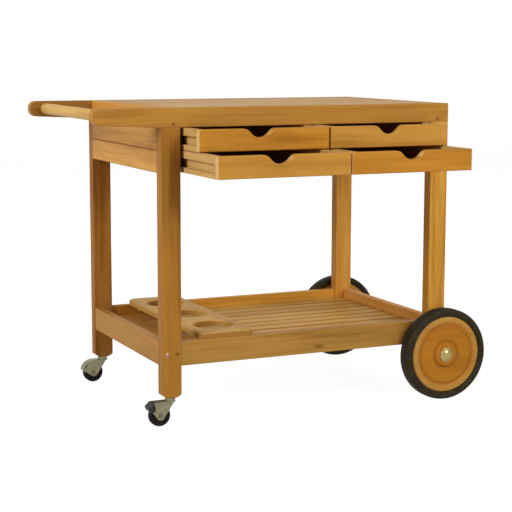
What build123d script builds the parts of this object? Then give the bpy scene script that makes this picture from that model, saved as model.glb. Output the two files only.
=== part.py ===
from build123d import *
from math import asin, cos, degrees, radians, sin, sqrt, tan
import os

# A wooden serving trolley with four drawers, all sizes in millimetres.
# While it is built, X runs from the handle end to the wheel end, Y from front to back and Z up
# from the floor, with X = 0 and Y = 0 at the outer faces of the front left leg.
# Every piece is moved at the end so that the origin is under the middle of the whole trolley.

# Frame
TABLE_H = 850.0
FRAME_LEN = 873.0
FRAME_DEPTH = 605.0
LEG_X = 55.0
LEG_Y = 34.0
EASE = 2.0
FIT = 0.02

# Top rails and handle
RAIL_H = 52.0
ARM_OUT = 185.0
ARM_END_H = 43.0
ARM_ROUND = 19.0
BAR_R = 15.5
BAR_INSET = 45.0
BAR_TENON_R = 11.0
BAR_TENON_LEN = 20.0
LEG_TENON_X = 30.0
LEG_TENON_Y = 12.0
LEG_TENON_H = 32.0

# Table top
END_RAIL_W = 62.0
END_RAIL_H = 28.0
END_TENON_LEN = 14.0
END_TENON_T = 12.0
END_TENON_INSET = 8.0
PLANK_COUNT = 8
PLANK_T = 20.0
PLANK_GAP = 4.0
BATTEN_W = 40.0
BATTEN_INSET = 160.0

# Aprons round the drawers
APRON_T = 20.0
APRON_H = 60.0
APRON_V = 2.5
APRON_TENON_T = 10.0
APRON_TENON_LEN = 14.0
APRON_SHOULDER = 9.0

# Low shelf
SHELF_Z = 162.0
SHELF_RAIL_H = 66.0
SHELF_RAIL_T = 24.0
SETBACK = 1.5
SHELF_TENON_T = 10.0
SHELF_TENON_LEN = 24.0
SHELF_END_TENON_LEN = 12.0
SHELF_SHOULDER = 10.0
SLAT_COUNT = 10
SLAT_T = 16.0
SLAT_DROP = 28.0
SLAT_GAP = 7.0
SLAT_LEG_GAP = 2.0
BEARER_W = 28.0
BEARER_H = 20.0

# Bottle rack
RACK_X = 112.0
RACK_W = 164.0
RACK_T = 16.0
RACK_END_INSET = 4.0
RACK_ROUND = 5.0
RACK_CORNER = 28.0
BOTTLE_R = 55.0
BOTTLE_INSET = 116.0
CLEAT_T = 20.0
CLEAT_H = 18.0
CLEAT_INSET = 25.0
CLEAT_GAP = 1.0

# Drawers
PULL_UPPER = 104.0
PULL_LOWER = 228.0
DRAWER_LEN = 540.0
DRAWER_H = 58.0
DRAWER_GAP = 2.0
SPLIT_SHIFT = 5.0
SIDE_T = 18.0
FRONT_T = 22.0
FRONT_GAP = 4.0
FRONT_EASE = 3.0
LEG_GAP = 10.0
DADO = 6.0
BACK_DROP = 6.0
BOTTOM_T = 6.0
BOTTOM_RISE = 6.0
BOTTOM_IN = 5.0
NOTCH_LEFT = 175.0
NOTCH_RIGHT = 182.0
NOTCH_D = 24.0
NOTCH_SLOPE = 46.0
NOTCH_FOOT_R = 38.0
NOTCH_SHOULDER = 20.0

# Runners and centre divider
DIVIDER_T = 14.0
DIVIDER_GAP = 1.5
GROOVE_RISE = 14.0
GROOVE_H = 24.0
GROOVE_D = 11.5
RUNNER_REST = 0.3
RUNNER_SLACK = 0.7
RUNNER_START = 24.0

# Axle and wheels
AXLE_INSET = 19.0
AXLE_R = 6.0
RUNNING_FIT = 0.05
WHEEL_R = 132.0
TYRE_T = 23.0
TYRE_W = 44.0
TYRE_SHOULDER = 9.0
TYRE_RIB_W = 16.0
TYRE_RIB_D = 6.0
DISC_INSET = 3.0
RIM_ROUND = 4.0
RIM_BAND = 22.0
HUB_GROOVE_R = 41.0
TURNED_GROOVE_W = 5.0
TURNED_GROOVE_D = 3.0
HUB_PROUD = 2.0
BUSH_R = 9.0
WHEEL_GAP = 4.0
WASHER_R = 15.0
WASHER_SLACK = 0.3
CAP_R = 18.0
CAP_H = 13.0
CAP_RIM = 3.0
CAP_WALL = 5.0
LEG_BELOW_AXLE = 32.0

# Casters
FOOT_CUT_X = 14.0
FOOT_CUT_Z = 9.0
FOOT_CHAMFER = 2.5
CASTER_R = 29.5
CASTER_W = 20.0
CASTER_SHOULDER = 4.0
CASTER_HUB_R = 11.0
CASTER_HUB_W = 22.6
CASTER_TRAIL = 32.0
CASTER_PIN_R = 4.0
PIN_HEAD_R = 6.5
PIN_HEAD_T = 2.0
STEM_R = 5.5
STEM_LEN = 42.0
FLANGE_R = 13.5
FLANGE_T = 3.0
RACE_R = 14.0
RACE_T = 5.3
KING_R = 4.0
KING_HEAD_R = 7.0
KING_HEAD_T = 1.8
FORK_T = 2.6
FORK_TOP_T = 3.4
FORK_GAP = 0.3
FORK_NOSE = 4.0
FORK_LIP = 2.0
FORK_BACK = 17.0
FORK_TIP_R = 11.5
HOOD_GAP = 5.0
HOOD_SHIFT = 2.0
HOOD_RISE = 9.0
LEVER_REACH = 32.0
LEVER_ANGLE = 49.0
LEVER_PIN_R = 2.5
LEVER_HEAD_R = 4.0
LEVER_HEAD_T = 1.2
LEVER_EAR_R = 5.5
LEVER_BOSS_R = 7.5
LEVER_CREST_X = 4.0
LEVER_CREST_Z = 14.0
LEVER_END_R = 3.0
LEVER_LEN = 15.0
LEVER_RISE = 8.0
CHEEK_T = 2.0
CHEEK_GAP = 0.3
PEDAL_W = 8.5
PEDAL_T = 3.4

# Plugs and bolts
PLUG_R = 4.5
PLUG_LEN = 24.0
PLUG_PROUD = 0.4
TOP_PLUG_X = 36.0
TOP_PLUG_RISE = 9.0
BOLT_R = 3.0
BOLT_LEN = 72.0
BOLT_HEAD_R = 6.0
BOLT_HEAD_H = 3.0
BOLT_RIM = 0.6

# Places that follow from the sizes above
RAIL_Z = TABLE_H - RAIL_H
MID_X = FRAME_LEN / 2
MID_Y = FRAME_DEPTH / 2
RIGHT_LEG = FRAME_LEN - LEG_X
BACK_LEG = FRAME_DEPTH - LEG_Y
APRON_Z = RAIL_Z - 2 * APRON_H
LOWER_Z = APRON_Z + DRAWER_GAP / 2
UPPER_Z = LOWER_Z + DRAWER_H + DRAWER_GAP
SHELF_TOP = SHELF_Z + SHELF_RAIL_H
SLAT_Z = SHELF_TOP - SLAT_DROP
RAIL_BACK = SETBACK + SHELF_RAIL_T
SPLIT_X = MID_X + SPLIT_SHIFT
NOTCH_V = NOTCH_D + NOTCH_FOOT_R * (1 / cos(radians(NOTCH_SLOPE)) - 1)
NOTCH_HALF = NOTCH_V / tan(radians(NOTCH_SLOPE))
JOINT_Z = SHELF_Z + SHELF_RAIL_H / 2
AXLE_X = FRAME_LEN - AXLE_INSET
AXLE_Z = WHEEL_R
DISC_R = WHEEL_R - TYRE_T
RIM_GROOVE_R = DISC_R - RIM_BAND
HUB_W = TYRE_W - DISC_INSET + HUB_PROUD
CAP_Y = -WHEEL_GAP - HUB_W - WASHER_SLACK
CASTER_X = LEG_X / 2
CASTER_Y = LEG_Y / 2
WHEEL_X = CASTER_X - CASTER_TRAIL
HOOD_X = WHEEL_X + HOOD_SHIFT
HOOD_R = CASTER_R + HOOD_GAP + FORK_TOP_T
FORK_TOP = CASTER_R + HOOD_R
FORK_Z = FORK_TOP - FORK_TOP_T
RACE_Z = FORK_TOP + FORK_GAP
FOOT_Z = RACE_Z + RACE_T + FLANGE_T
FORK_HALF = CASTER_HUB_W / 2 + FORK_GAP + FORK_T
CHEEK_Y = CASTER_Y - FORK_HALF - CHEEK_GAP - CHEEK_T
LEVER_X = WHEEL_X - LEVER_REACH * sin(radians(LEVER_ANGLE))
LEVER_Z = CASTER_R + LEVER_REACH * cos(radians(LEVER_ANGLE))
BAR_X = BAR_INSET - ARM_OUT
BAR_Z = TABLE_H - ARM_END_H / 2
CENTRE_X = (AXLE_X + WHEEL_R - ARM_OUT) / 2
CENTRE_Y = (FRAME_DEPTH - CAP_Y + CAP_H - PULL_LOWER) / 2

TO_BACK = Plane(origin=(0, MID_Y, 0), z_dir=(0, 1, 0))
TO_RIGHT = Plane(origin=(MID_X, 0, 0), z_dir=(1, 0, 0))
ACROSS_FORK = Plane(origin=(0, CASTER_Y, 0), z_dir=(0, 1, 0))


def board(x, y, z, ease=0.0, grain=Axis.X):
    """A board between low and high coordinates, its edges along the grain eased."""
    solid = Pos(sum(x) / 2, sum(y) / 2, sum(z) / 2) * Box(x[1] - x[0], y[1] - y[0], z[1] - z[0])
    if ease:
        solid = fillet(solid.edges().filter_by(grain), ease)
    return solid


def rod(radius, start, end):
    """A round rod between two points on a line along one axis."""
    way = Vector(*end) - Vector(*start)
    base = Plane(origin=start, z_dir=way.normalized())
    return extrude(base * Circle(radius), way.length)


def turned(points, x, y, z):
    """A turned piece about a line along -Y, with straight steps between (radius, outward) points."""
    outline = Polyline(*[(r, 0, out) for r, out in points], close=True)
    return Pos(x, y, z) * Rot(90, 0, 0) * revolve(make_face(outline), Axis.Z, 360)


def dome(radius, rim, height, x, y, z):
    """A round button facing -Y: a short straight rim under a crown that is the cap of a ball."""
    crown = height - rim
    ball = (radius ** 2 + crown ** 2) / (2 * crown)
    cap = Sphere(ball, arc_size1=degrees(asin(1 - crown / ball)), arc_size2=90, align=None)
    return rod(radius, (x, y, z), (x, y - rim, z)) + Pos(x, y - height + ball, z) * Rot(90, 0, 0) * cap


def to_back(solid):
    """The same piece at the back of the trolley."""
    return mirror(solid, about=TO_BACK)


def to_right(solid):
    """The same piece at the wheel end of the trolley."""
    return mirror(solid, about=TO_RIGHT)


def across_fork(solid):
    """The same piece on the far side of the front caster's fork."""
    return mirror(solid, about=ACROSS_FORK)


def shelf_rail_tenon():
    """Tenon of the front shelf rail in the front left leg."""
    mid = SETBACK + SHELF_RAIL_T / 2
    return board((LEG_X - SHELF_TENON_LEN, LEG_X),
                 (mid - SHELF_TENON_T / 2, mid + SHELF_TENON_T / 2),
                 (SHELF_Z + SHELF_SHOULDER, SHELF_TOP - SHELF_SHOULDER))


def shelf_end_tenon():
    """Tenon of the left shelf rail in the front left leg."""
    mid = SETBACK + SHELF_RAIL_T / 2
    return board((mid - SHELF_TENON_T / 2, mid + SHELF_TENON_T / 2),
                 (LEG_Y - SHELF_END_TENON_LEN, LEG_Y),
                 (SHELF_Z + SHELF_SHOULDER, SHELF_TOP - SHELF_SHOULDER))


def apron_levels():
    """Low and high edges of the two apron boards, the lower one first."""
    return [(APRON_Z, APRON_Z + APRON_H), (APRON_Z + APRON_H, RAIL_Z)]


def apron_end_tenons():
    """Tenons of the two left apron boards in the front left leg."""
    mid = APRON_T / 2
    return [board((mid - APRON_TENON_T / 2, mid + APRON_TENON_T / 2),
                  (LEG_Y - APRON_TENON_LEN, LEG_Y),
                  (low + APRON_SHOULDER, high - APRON_SHOULDER)) for low, high in apron_levels()]


def apron_back_tenons():
    """Tenons of the two back apron boards in the back left leg."""
    mid = FRAME_DEPTH - APRON_T / 2
    return [board((LEG_X - APRON_TENON_LEN, LEG_X),
                  (mid - APRON_TENON_T / 2, mid + APRON_TENON_T / 2),
                  (low + APRON_SHOULDER, high - APRON_SHOULDER)) for low, high in apron_levels()]


def leg_top_tenon():
    """Tenon on top of the front left leg, in the top rail."""
    return board((LEG_X / 2 - LEG_TENON_X / 2, LEG_X / 2 + LEG_TENON_X / 2),
                 (LEG_Y / 2 - LEG_TENON_Y / 2, LEG_Y / 2 + LEG_TENON_Y / 2),
                 (RAIL_Z, RAIL_Z + LEG_TENON_H))


def top_plug(clearance=0.0):
    """Peg through the top rail and the tenon of the front left leg."""
    z = RAIL_Z + TOP_PLUG_RISE
    return rod(PLUG_R + clearance, (TOP_PLUG_X, -PLUG_PROUD, z), (TOP_PLUG_X, PLUG_LEN, z))


def shelf_plug(clearance=0.0):
    """Peg through the front left leg and the tenon of the front shelf rail."""
    x = LEG_X - SHELF_TENON_LEN / 2
    return rod(PLUG_R + clearance, (x, -PLUG_PROUD, JOINT_Z), (x, PLUG_LEN, JOINT_Z))


def bolt_shank(clearance=0.0):
    """Shank of the bolt that draws the left shelf rail to the front left leg."""
    x = SETBACK + SHELF_RAIL_T / 2
    return rod(BOLT_R + clearance, (x, 0, JOINT_Z), (x, BOLT_LEN, JOINT_Z))


def frame_bolt():
    """Round-headed bolt through the front left leg into the end of the left shelf rail."""
    x = SETBACK + SHELF_RAIL_T / 2
    return dome(BOLT_HEAD_R, BOLT_RIM, BOLT_HEAD_H, x, 0, JOINT_Z) + bolt_shank()


def leg(foot_z):
    """Front left leg from the given height up to the top rail, with its mortises and holes."""
    outline = Polyline((0, foot_z + FOOT_CUT_Z), (FOOT_CUT_X, foot_z), (LEG_X - FOOT_CUT_X, foot_z),
                       (LEG_X, foot_z + FOOT_CUT_Z), (LEG_X, RAIL_Z), (0, RAIL_Z), close=True)
    post = extrude(Plane.XZ * make_face(outline), -LEG_Y)
    foot = post.faces().sort_by(Axis.Z)[0]
    post = chamfer(foot.edges().filter_by(Axis.X), FOOT_CHAMFER)
    post = fillet(post.edges().filter_by(Axis.Z), EASE)
    post = post + leg_top_tenon()
    cuts = [shelf_rail_tenon(), shelf_end_tenon(), top_plug(FIT), shelf_plug(FIT), bolt_shank(FIT)]
    for cut in cuts + apron_end_tenons():
        post = post - cut
    return post


def legs():
    """The four legs: casters under the left pair, the axle through the right pair."""
    stem = rod(STEM_R + FIT, (CASTER_X, CASTER_Y, FOOT_Z), (CASTER_X, CASTER_Y, FOOT_Z + STEM_LEN))
    axle = rod(AXLE_R + FIT, (AXLE_INSET, 0, AXLE_Z), (AXLE_INSET, LEG_Y, AXLE_Z))
    left = leg(FOOT_Z) - stem
    right = leg(AXLE_Z - LEG_BELOW_AXLE) - axle
    back_left = to_back(left)
    back_right = to_back(right)
    for tenon in apron_back_tenons():
        back_left = back_left - tenon
        back_right = back_right - tenon
    return {"leg_front_left": left, "leg_back_left": back_left,
            "leg_front_right": to_right(right), "leg_back_right": to_right(back_right)}


def top_rail():
    """Front top rail, which runs on past the left leg as a tapered handle arm."""
    outline = Polyline((FRAME_LEN, RAIL_Z), (FRAME_LEN, TABLE_H), (-ARM_OUT, TABLE_H),
                       (-ARM_OUT, TABLE_H - ARM_END_H), (0, RAIL_Z), close=True)
    rail = extrude(Plane.XZ * make_face(outline), -LEG_Y)
    rail = fillet(rail.edges().filter_by(Axis.Y).group_by(Axis.X)[0], ARM_ROUND)
    rail = fillet(rail.faces().filter_by(Axis.Y).edges(), EASE)
    tenon = leg_top_tenon()
    for cut in (tenon, to_right(tenon), top_plug(FIT), to_right(top_plug(FIT))):
        rail = rail - cut
    for cut in (top_end_tenon(), to_right(top_end_tenon())):
        rail = rail - cut
    return rail - rod(BAR_TENON_R + FIT, (BAR_X, LEG_Y - BAR_TENON_LEN, BAR_Z), (BAR_X, LEG_Y, BAR_Z))


def top_end_tenon():
    """Tenon of the left end rail of the top in the front top rail."""
    mid = TABLE_H - END_RAIL_H / 2
    return board((END_TENON_INSET, END_RAIL_W - END_TENON_INSET), (LEG_Y - END_TENON_LEN, LEG_Y),
                 (mid - END_TENON_T / 2, mid + END_TENON_T / 2))


def top_end_rail():
    """Left end rail of the table top, between the two top rails."""
    rail = board((0, END_RAIL_W), (LEG_Y, BACK_LEG), (TABLE_H - END_RAIL_H, TABLE_H), EASE, Axis.Y)
    return rail + top_end_tenon() + to_back(top_end_tenon())


def top_planks():
    """The planks of the table top, side by side between the rails."""
    pitch = (BACK_LEG - LEG_Y + PLANK_GAP) / PLANK_COUNT
    starts = [LEG_Y + n * pitch for n in range(PLANK_COUNT)]
    return [board((END_RAIL_W, FRAME_LEN - END_RAIL_W), (y, y + pitch - PLANK_GAP),
                  (TABLE_H - PLANK_T, TABLE_H), EASE) for y in starts]


def top_battens():
    """The three cross battens that carry the planks, between the two top rails."""
    middles = [BATTEN_INSET, MID_X, FRAME_LEN - BATTEN_INSET]
    return [board((x - BATTEN_W / 2, x + BATTEN_W / 2), (LEG_Y, BACK_LEG), (RAIL_Z, TABLE_H - PLANK_T))
            for x in middles]


def handle_bar():
    """Round bar between the two arms, with a thinner tenon in each."""
    bar = rod(BAR_R, (BAR_X, LEG_Y, BAR_Z), (BAR_X, BACK_LEG, BAR_Z))
    return bar + rod(BAR_TENON_R, (BAR_X, LEG_Y - BAR_TENON_LEN, BAR_Z),
                     (BAR_X, BACK_LEG + BAR_TENON_LEN, BAR_Z))


def v_edge(solid, grain, outside):
    """Chamfers the long outer edges of an apron board, so two boards meet in a V."""
    edges = solid.edges().filter_by(grain).group_by(outside)[0]
    return chamfer(edges, APRON_V)


def end_aprons():
    """The two boards of the left apron, tenoned into the legs."""
    boards = []
    for (low, high), tenon in zip(apron_levels(), apron_end_tenons()):
        plain = board((0, APRON_T), (LEG_Y, BACK_LEG), (low, high))
        boards.append(v_edge(plain, Axis.Y, Axis.X) + tenon + to_back(tenon))
    return boards


def back_aprons():
    """The two boards of the back apron, tenoned into the back legs."""
    boards = []
    outwards = Axis((0, 0, 0), (0, -1, 0))
    for (low, high), tenon in zip(apron_levels(), apron_back_tenons()):
        plain = board((LEG_X, RIGHT_LEG), (FRAME_DEPTH - APRON_T, FRAME_DEPTH), (low, high))
        boards.append(v_edge(plain, Axis.X, outwards) + tenon + to_right(tenon))
    return boards


def centre_divider():
    """Upright board between the left and right drawers, under the middle batten."""
    return board((SPLIT_X - DIVIDER_T / 2, SPLIT_X + DIVIDER_T / 2),
                 (RUNNER_START, FRAME_DEPTH - APRON_T), (APRON_Z, RAIL_Z))


def drawer_runners():
    """The eight runners: one in the groove of each drawer side."""
    depth = GROOVE_D - RUNNER_SLACK
    reach = DIVIDER_T / 2 + DIVIDER_GAP + depth
    left = [(LEG_X, LEG_X + LEG_GAP + depth), (SPLIT_X - reach, SPLIT_X - DIVIDER_T / 2)]
    right = [(SPLIT_X + DIVIDER_T / 2, SPLIT_X + reach), (RIGHT_LEG - LEG_GAP - depth, RIGHT_LEG)]
    length = (RUNNER_START, FRAME_DEPTH - APRON_T)
    runners = []
    for floor in (LOWER_Z, UPPER_Z):
        groove = floor + GROOVE_RISE
        height = (groove + RUNNER_SLACK, groove + GROOVE_H - RUNNER_REST)
        runners += [board(width, length, height) for width in left + right]
    return runners


def shelf_rail_front():
    """Front rail of the low shelf, between the front legs."""
    rail = board((LEG_X, RIGHT_LEG), (SETBACK, RAIL_BACK), (SHELF_Z, SHELF_TOP), EASE)
    rail = rail + shelf_rail_tenon() + to_right(shelf_rail_tenon())
    return rail - shelf_plug(FIT) - to_right(shelf_plug(FIT))


def shelf_rail_left():
    """Left rail of the low shelf, between the left legs."""
    rail = board((SETBACK, RAIL_BACK), (LEG_Y, BACK_LEG), (SHELF_Z, SHELF_TOP), EASE, Axis.Y)
    rail = rail + shelf_end_tenon() + to_back(shelf_end_tenon())
    return rail - bolt_shank(FIT) - to_back(bolt_shank(FIT))


def shelf_slats():
    """The slats of the low shelf, between the end rails and clear of the legs."""
    first = LEG_Y + SLAT_LEG_GAP
    pitch = (FRAME_DEPTH - 2 * first + SLAT_GAP) / SLAT_COUNT
    starts = [first + n * pitch for n in range(SLAT_COUNT)]
    return [board((RAIL_BACK, FRAME_LEN - RAIL_BACK), (y, y + pitch - SLAT_GAP),
                  (SLAT_Z - SLAT_T, SLAT_Z), EASE) for y in starts]


def shelf_bearers():
    """The three bearers under the slats, between the front and back shelf rails."""
    edge = LEG_X + SLAT_LEG_GAP + BEARER_W / 2
    top = SLAT_Z - SLAT_T
    return [board((x - BEARER_W / 2, x + BEARER_W / 2), (RAIL_BACK, FRAME_DEPTH - RAIL_BACK),
                  (top - BEARER_H, top)) for x in (edge, MID_X, FRAME_LEN - edge)]


def bottle_rack_board():
    """Board with three round bottle holes, rounded at its rims, lying on the front and back shelf rails."""
    y = (RACK_END_INSET, FRAME_DEPTH - RACK_END_INSET)
    plank = board((RACK_X, RACK_X + RACK_W), y, (SHELF_TOP, SHELF_TOP + RACK_T))
    plank = fillet(plank.edges().filter_by(Axis.Z), RACK_CORNER)
    middle = RACK_X + RACK_W / 2
    for at in (y[0] + BOTTLE_INSET, MID_Y, y[1] - BOTTLE_INSET):
        plank = plank - rod(BOTTLE_R, (middle, at, SHELF_TOP), (middle, at, SHELF_TOP + RACK_T))
    top = plank.faces().sort_by(Axis.Z)[-1]
    return fillet(top.edges(), RACK_ROUND)


def bottle_rack_cleats():
    """The two cleats under the bottle rack that keep it in place between the shelf rails."""
    x = (RACK_X + CLEAT_INSET, RACK_X + RACK_W - CLEAT_INSET)
    near = RAIL_BACK + CLEAT_GAP
    cleat = board(x, (near, near + CLEAT_T), (SHELF_TOP - CLEAT_H, SHELF_TOP))
    return [cleat, to_back(cleat)]


def drawer(floor, pull, split, notch):
    """The pieces of a left drawer that stands open by the given pull, with its notch at the given X."""
    x = (LEG_X + LEG_GAP, split - FRONT_GAP / 2)
    inner = split - DIVIDER_T / 2 - DIVIDER_GAP
    face = -pull
    z = (floor, floor + DRAWER_H)
    tail = face + DRAWER_LEN
    length = (face + FRONT_T - DADO, tail)
    front = drawer_front(x, face, z, notch)
    panel = board((x[0] + SIDE_T - BOTTOM_IN, inner - SIDE_T + BOTTOM_IN),
                  (face + FRONT_T - BOTTOM_IN, tail - SIDE_T + BOTTOM_IN),
                  (floor + BOTTOM_RISE, floor + BOTTOM_RISE + BOTTOM_T))
    back = board((x[0] + SIDE_T, inner - SIDE_T), (tail - SIDE_T, tail), (floor, z[1] - BACK_DROP))
    sides = []
    for edge, groove in ((x[0], (x[0], x[0] + GROOVE_D)), (inner - SIDE_T, (inner - GROOVE_D, inner))):
        side = board((edge, edge + SIDE_T), length, z)
        front = front - side
        channel = board(groove, (face + FRONT_T, tail),
                        (floor + GROOVE_RISE, floor + GROOVE_RISE + GROOVE_H))
        sides.append(side - channel - panel)
    return {"front": front - panel, "sides": sides, "back": back - panel, "bottom": panel}


def drawer_front(x, face, z, notch):
    """Drawer front with a finger notch: a bowl between sloping sides and round shoulders, its rim eased."""
    foot = (notch, z[1] - NOTCH_V)
    shoulders = [(notch - NOTCH_HALF, z[1]), (notch + NOTCH_HALF, z[1])]
    outline = Polyline((x[0], z[0]), (x[1], z[0]), (x[1], z[1]), shoulders[1], foot, shoulders[0],
                       (x[0], z[1]), close=True)
    shape = make_face(outline)
    shape = fillet(shape.vertices().sort_by_distance(foot)[0], NOTCH_FOOT_R)
    for shoulder in shoulders:
        shape = fillet(shape.vertices().sort_by_distance(shoulder)[0], NOTCH_SHOULDER)
    front = Pos(0, face, 0) * extrude(Plane.XZ * shape, -FRONT_T)
    return fillet(front.faces().sort_by(Axis.Y)[0].edges(), FRONT_EASE)


def wheel_disc():
    """Turned wooden disc of the front wheel, grooved near its rim and round its hub."""
    face = TYRE_W - DISC_INSET
    half = TURNED_GROOVE_W / 2
    rib = (TYRE_W - TYRE_RIB_W) / 2
    seat = DISC_R - TYRE_RIB_D
    points = [(BUSH_R, 0), (HUB_GROOVE_R - half, 0), (HUB_GROOVE_R, DISC_INSET), (DISC_R, DISC_INSET),
              (DISC_R, rib), (seat, rib), (seat, rib + TYRE_RIB_W), (DISC_R, rib + TYRE_RIB_W),
              (DISC_R, face - RIM_ROUND), (DISC_R - RIM_ROUND, face),
              (RIM_GROOVE_R + half, face), (RIM_GROOVE_R, face - TURNED_GROOVE_D),
              (RIM_GROOVE_R - half, face), (HUB_GROOVE_R + half, face),
              (HUB_GROOVE_R, face - TURNED_GROOVE_D), (HUB_GROOVE_R - half, HUB_W), (BUSH_R, HUB_W)]
    return turned(points, AXLE_X, -WHEEL_GAP, AXLE_Z)


def tyre():
    """Solid rubber tyre of the front wheel, with a rib seated in the rim."""
    rib = (TYRE_W - TYRE_RIB_W) / 2
    ring = turned([(DISC_R, 0), (WHEEL_R, 0), (WHEEL_R, TYRE_W), (DISC_R, TYRE_W)],
                  AXLE_X, -WHEEL_GAP, AXLE_Z)
    outer = ring.edges().filter_by(GeomType.CIRCLE).group_by(SortBy.RADIUS)[-1]
    ring = fillet(outer, TYRE_SHOULDER)
    seat = DISC_R - TYRE_RIB_D
    tongue = turned([(seat, rib), (DISC_R, rib), (DISC_R, rib + TYRE_RIB_W), (seat, rib + TYRE_RIB_W)],
                    AXLE_X, -WHEEL_GAP, AXLE_Z)
    return ring + tongue


def wheel_bush():
    """Bush pressed into the front wheel, turning on the axle."""
    bore = AXLE_R + RUNNING_FIT
    return turned([(bore, 0), (BUSH_R, 0), (BUSH_R, HUB_W), (bore, HUB_W)], AXLE_X, -WHEEL_GAP, AXLE_Z)


def axle():
    """Steel axle through both right legs, ending inside the two caps."""
    end = CAP_Y - CAP_H + CAP_WALL
    return rod(AXLE_R, (AXLE_X, end, AXLE_Z), (AXLE_X, FRAME_DEPTH - end, AXLE_Z))


def axle_washers():
    """Washers between the legs and the wheels."""
    bore = AXLE_R + FIT
    washer = turned([(bore, 0), (WASHER_R, 0), (WASHER_R, WHEEL_GAP - WASHER_SLACK),
                     (bore, WHEEL_GAP - WASHER_SLACK)], AXLE_X, 0, AXLE_Z)
    return [washer, to_back(washer)]


def hub_caps():
    """Domed caps on the two ends of the axle."""
    cap = dome(CAP_R, CAP_RIM, CAP_H, AXLE_X, CAP_Y, AXLE_Z)
    cap = cap - rod(AXLE_R + FIT, (AXLE_X, CAP_Y, AXLE_Z), (AXLE_X, CAP_Y - CAP_H + CAP_WALL, AXLE_Z))
    return [cap, to_back(cap)]


def caster_stem():
    """Stem, flange and race fixed in the front left leg, with the king pin that carries the fork."""
    foot = (CASTER_X, CASTER_Y, FOOT_Z)
    race = (CASTER_X, CASTER_Y, RACE_Z)
    head = (CASTER_X, CASTER_Y, FORK_Z - FORK_GAP)
    stem = rod(STEM_R, foot, (CASTER_X, CASTER_Y, FOOT_Z + STEM_LEN))
    flange = rod(FLANGE_R, (CASTER_X, CASTER_Y, FOOT_Z - FLANGE_T), foot)
    ring = rod(RACE_R, race, (CASTER_X, CASTER_Y, FOOT_Z - FLANGE_T))
    pin = rod(KING_R, head, race)
    button = rod(KING_HEAD_R, (CASTER_X, CASTER_Y, FORK_Z - FORK_GAP - KING_HEAD_T), head)
    return stem + flange + ring + pin + button


def hood_sector():
    """Flat part disc of a fork's hood: the quarter above and behind the wheel, level at its foot."""
    quarter = Rectangle(HOOD_R, HOOD_R, align=(Align.MAX, Align.MIN))
    return (Pos(HOOD_X, CASTER_R) * Circle(HOOD_R)) & (Pos(HOOD_X, CASTER_R + HOOD_RISE) * quarter)


def fork_tip():
    """Round lower end of a fork plate, about the wheel pin."""
    return Pos(WHEEL_X, CASTER_R) * Circle(FORK_TIP_R)


def hooded_outline():
    """Side plate of the fork without a brake: a V down to the wheel pin, with the round edge of the hood."""
    nose = CASTER_X + FORK_NOSE
    heel = HOOD_X - sqrt(HOOD_R ** 2 - HOOD_RISE ** 2)
    crown = Polygon((HOOD_X, FORK_TOP), (heel, CASTER_R + HOOD_RISE), (nose, FORK_Z - FORK_LIP),
                    (nose, FORK_TOP), align=None)
    return make_hull((fork_tip() + crown).edges()) + hood_sector()


def eared_outline():
    """Side plate of the fork with the brake: a V down to the wheel pin, with an ear for the lever's pivot."""
    nose = CASTER_X + FORK_NOSE
    crown = Polygon((WHEEL_X - FORK_BACK, FORK_TOP), (nose, FORK_Z - FORK_LIP), (nose, FORK_TOP), align=None)
    ear = Pos(LEVER_X, LEVER_Z) * Circle(LEVER_EAR_R)
    return make_hull((fork_tip() + crown + ear).edges())


def fork_top(back):
    """Flat top of the fork from the given X to a round nose about the king pin."""
    bridge = board((back, CASTER_X), (CASTER_Y - FORK_HALF, CASTER_Y + FORK_HALF), (FORK_Z, FORK_TOP))
    return bridge + rod(FORK_HALF, (CASTER_X, CASTER_Y, FORK_Z), (CASTER_X, CASTER_Y, FORK_TOP))


def fork_hood():
    """Curved cover across the fork, over the back of the wheel."""
    band = hood_sector() - Pos(HOOD_X, CASTER_R) * Circle(HOOD_R - FORK_TOP_T)
    return Pos(0, CASTER_Y - FORK_HALF, 0) * extrude(Plane.XZ * band, -2 * FORK_HALF)


def caster_fork(cover, outline):
    """Pressed steel fork of the front caster, trailing towards the handle end, with its pin holes."""
    low = CASTER_Y - FORK_HALF
    plate = Pos(0, low, 0) * extrude(Plane.XZ * outline, -FORK_T)
    fork = cover + plate + across_fork(plate)
    fork = fork - rod(KING_R + RUNNING_FIT, (CASTER_X, CASTER_Y, FORK_Z), (CASTER_X, CASTER_Y, FORK_TOP))
    fork = fork - rod(CASTER_PIN_R + FIT, (WHEEL_X, low, CASTER_R), (WHEEL_X, low + 2 * FORK_HALF, CASTER_R))
    stub = lever_stub(RUNNING_FIT)
    return fork - stub - across_fork(stub)


def lever_stub(clearance=0.0):
    """Stub pin of the brake lever through its near cheek and the near fork plate."""
    return rod(LEVER_PIN_R + clearance, (LEVER_X, CHEEK_Y, LEVER_Z),
               (LEVER_X, CASTER_Y - FORK_HALF + FORK_T, LEVER_Z))


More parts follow.
